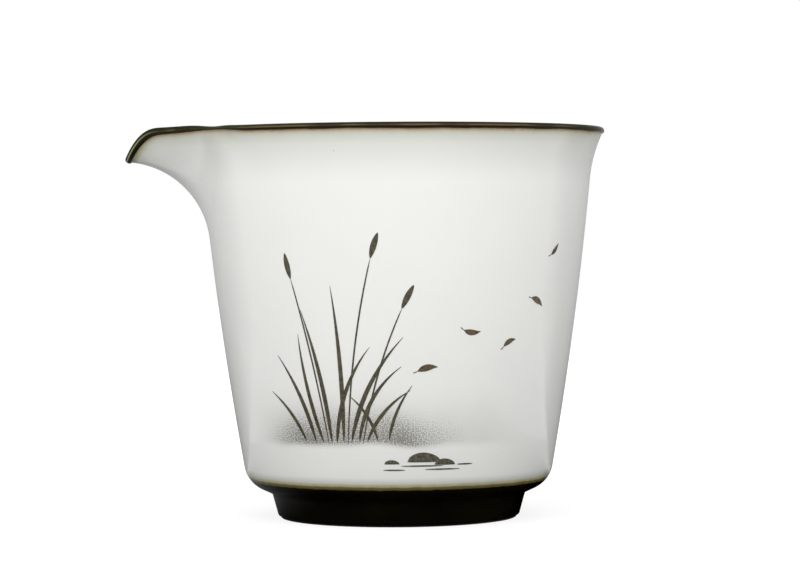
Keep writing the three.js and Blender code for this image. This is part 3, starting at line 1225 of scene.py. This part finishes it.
# %% [markdown]
# ## The stage
# A glossy pot is shot on white paper under one large soft light. The paper is a floor and a backdrop
# here, and both glow white to the camera and in the glaze. Two cards stand by that only the glaze
# mirrors, because a gloss shows its shape by what it reflects. The camera stands where the curves of
# the rim and the foot say that the photographer stood.

# %% Camera
photo_width = 800  # pixels
sensor_width = 36.0
camera_distance = 627.7
eye_height = 59.07
pixels_per_mm = 4.848  # at the bowl's axis
aim_side = 0.55
aim_height = 46.2
camera_roll = math.radians(-0.41)

camera = new_object("camera", bpy.ops.object.camera_add)
bpy.context.scene.camera = camera
camera.data.sensor_width = sensor_width
camera.data.lens = sensor_width * camera_distance * pixels_per_mm / photo_width
camera.location = Vector((axis_x, -camera_distance, eye_height + table_height)) * mm
aim = Vector((axis_x + aim_side, 0, aim_height + table_height)) * mm
camera.rotation_mode = "QUATERNION"
look = (aim - camera.location).to_track_quat("-Z", "Y")
camera.rotation_quaternion = look @ Quaternion((0, 0, 1), camera_roll)
print("lens", round(camera.data.lens, 1), "mm")

# %% The white ground, which glows for the camera and in the glaze
ground_near, ground_far = 70.0, 180.0


def seen_or_mirrored(tree):
    """One for a ray that shows the background, also in glaze or glass, and nought for the rest."""
    rays = new_node(tree, "LightPath").outputs
    seen = sums("MAXIMUM", rays["Is Camera Ray"], rays["Is Glossy Ray"])
    return sums("MAXIMUM", seen, rays["Is Transmission Ray"])


def white_ground(name, shade, glow):
    """A matte ground. Its shade and its glow each go from one value near the pot to one far off."""
    material, tree, shader, place = new_finish(name, 1, 0)
    reach = new_node(tree, "VectorMath", place, operation="LENGTH").outputs["Value"]
    near_and_far = (reach, ground_near * mm, ground_far * mm)
    feed(shader["Base Color"], fade(*near_and_far, *shade))
    feed(shader["Emission Color"], (1, 1, 1, 1))
    strength = times(fade(*near_and_far, *glow), seen_or_mirrored(tree))
    feed(shader["Emission Strength"], strength)
    return material


# %% Floor and backdrop
new_plane = bpy.ops.mesh.primitive_plane_add

floor = new_object("floor", new_plane, size=4)
floor.data.materials.append(white_ground("floor_white", (0.2, 0.5), (0.85, 0.8)))

upright = (math.pi / 2, 0, 0)
backdrop = new_object("backdrop", new_plane, size=4, location=(0, 2, 0), rotation=upright)
backdrop.data.materials.append(white_ground("backdrop_white", (0, 0), (1, 1)))
print("backdrop", backdrop.location.y, "m behind the pot")

# %% The light all round, and the soft light from above
lit, shown = (0.96, 0.96, 0.96, 1), (1, 1, 1, 1)
world = bpy.data.worlds.new("studio")
bpy.context.scene.world = world
world.use_nodes = True
tree = world.node_tree
ambient = blend(seen_or_mirrored(tree), lit, shown)
feed(tree.nodes["Background"].inputs["Color"], ambient)

key_place = Vector((-70, -620, 560)) * mm
key_target = Vector((0, 0, 60)) * mm
key = new_object("key", bpy.ops.object.light_add, type="AREA", location=key_place)
key.data.shape = "RECTANGLE"
key.data.size, key.data.size_y = 0.7, 0.5
key.data.energy = 3.15
key.rotation_euler = (key_target - key_place).to_track_quat("-Z", "Y").to_euler()
print("soft light", round((key_target - key_place).length, 2), "m away")

# %% Cards that are seen only as reflections in the glaze


def reflection_card(name, size, centre, rotation):
    """Returns the socket for the card's glow, and the place on it from -0.5 to 0.5."""
    card = new_object(name, new_plane, size=1, location=Vector(centre) * mm, rotation=rotation)
    card.scale = (size[0] * mm, size[1] * mm, 1)
    card.visible_camera = card.visible_diffuse = card.visible_shadow = False
    shade, tree, shader, place = new_finish(name, 1, 0)
    feed(shader["Base Color"], (0, 0, 0, 1))
    feed(shader["Emission Color"], (1, 1, 1, 1))
    card.data.materials.append(shade)
    return shader["Emission Strength"], new_node(tree, "SeparateXYZ", place).outputs


# %% A wide card behind the pot, which grows paler to the sides
glow, axes = reflection_card("back_card", (520, 260), (axis_x + 15, 55, 130), upright)
sideways = sums("ABSOLUTE", axes["X"])
inner_glow = fade(axes["Y"], -0.5, -0.25, 0.2, 0.45)
low_glow = fade(sideways, 0.16, 0.32, 0.2, 0.9)
high_glow = fade(sideways, 0.2, 0.5, inner_glow, 0.96)
feed(glow, fade(axes["Y"], -0.5, -0.36, low_glow, high_glow))
print("back card:", len(tree_of(glow).nodes), "nodes")

# %% A mat under the pot, dark round the foot
glow, axes = reflection_card("mat", (180, 140), (axis_x, 0, 0.2), (0, 0, 0))
left_glow = fade(axes["X"], -0.26, -0.1, 0.2, 0.0)
outward = sums("MULTIPLY_ADD", axes["X"], axes["X"], times(axes["Y"], axes["Y"]))
feed(glow, fade(outward, 0.1, 0.25, left_glow, 0.6))
print("mat:", len(tree_of(glow).nodes), "nodes")

# %% The view transform
bpy.context.scene.view_settings.view_transform = "Standard"
